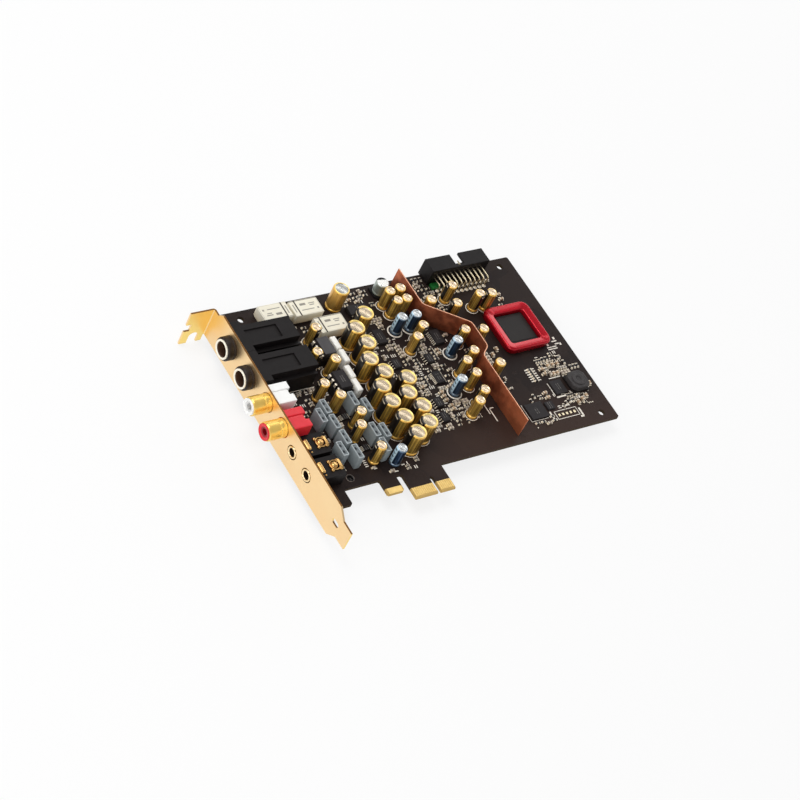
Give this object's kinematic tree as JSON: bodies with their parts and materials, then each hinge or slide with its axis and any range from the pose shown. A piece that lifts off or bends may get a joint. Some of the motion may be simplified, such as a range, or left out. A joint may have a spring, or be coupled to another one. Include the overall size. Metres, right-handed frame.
{
  "type": "sound card",
  "caption": "Internal sound card: circuit board with a keyed edge connector, folded metal bracket with audio sockets, rows of capacitors, copper shield strip and red framed processor.",
  "frame": {"origin": "key notch of the edge connector, on the lower edge of the contact tongues and the component face of the board", "axes": "+X along the card away from the bracket, +Y up from the edge connector to the top edge, +Z out of the component side"},
  "size_m": [0.1794, 0.1252, 0.0221],
  "materials": {
    "board": "matt dark solder mask",
    "gold": "gold plate",
    "bracket": "polished pale gold plate",
    "black_plastic": "moulded, satin",
    "nut": "polished black",
    "bright_metal": "bright plated",
    "white_plastic": "moulded, gloss",
    "red_plastic": "moulded, gloss",
    "ivory_plastic": "moulded, satin",
    "gold_can": "printed sleeve on a bright can",
    "blue_can": "printed sleeve on a bright can",
    "grey_can": "bare can",
    "film_case": "moulded, satin",
    "chip": "moulded, matt",
    "tinned_lead": "tinned",
    "red_paint": "gloss red lacquer",
    "copper": "bare copper",
    "ferrite": "fired, matt",
    "green_plastic": "moulded",
    "resistor": "glazed",
    "ceramic": "fired"
  },
  "bodies": {
    "root": {"circuit_board": "board", "edge_contacts": "gold", "phono_white_shell": "gold", "phono_red_shell": "gold", "phono_white_contact": "gold", "phono_red_contact": "gold", "minijack_1_barrel": "gold", "minijack_2_barrel": "gold", "minijack_1_contacts": "gold", "minijack_2_contacts": "gold", "jack_1_contacts": "gold", "jack_2_contacts": "gold", "header_pins": "gold", "bracket": "bracket", "jack_1_housing": "black_plastic", "jack_2_housing": "black_plastic", "minijack_1_housing": "black_plastic", "minijack_2_housing": "black_plastic", "header_shroud": "black_plastic", "amplifier_1_socket": "black_plastic", "amplifier_2_socket": "black_plastic", "grey_capacitor_base": "black_plastic", "choke_base": "black_plastic", "jack_1_nut": "nut", "jack_2_nut": "nut", "jack_1_bushing": "bright_metal", "jack_2_bushing": "bright_metal", "phono_white_housing": "white_plastic", "white_capacitors": "white_plastic", "phono_red_housing": "red_plastic", "relay_1": "ivory_plastic", "relay_2": "ivory_plastic", "relay_3": "ivory_plastic", "large_capacitors": "gold_can", "small_capacitors": "gold_can", "plain_capacitor": "gold_can", "blue_capacitors": "blue_can", "grey_capacitor": "grey_can", "film_capacitors": "film_case", "amplifier_1": "chip", "amplifier_2": "chip", "leaded_chips": "chip", "flat_chips": "chip", "core_chip": "chip", "amplifier_1_leads": "tinned_lead", "amplifier_2_leads": "tinned_lead", "chip_leads": "tinned_lead", "solder_joints": "tinned_lead", "core_cover": "red_paint", "shield_strip": "copper", "choke_core": "ferrite", "fuse": "green_plastic", "chip_resistors": "resistor", "chip_ceramics": "ceramic"}
  },
  "joints": []
}
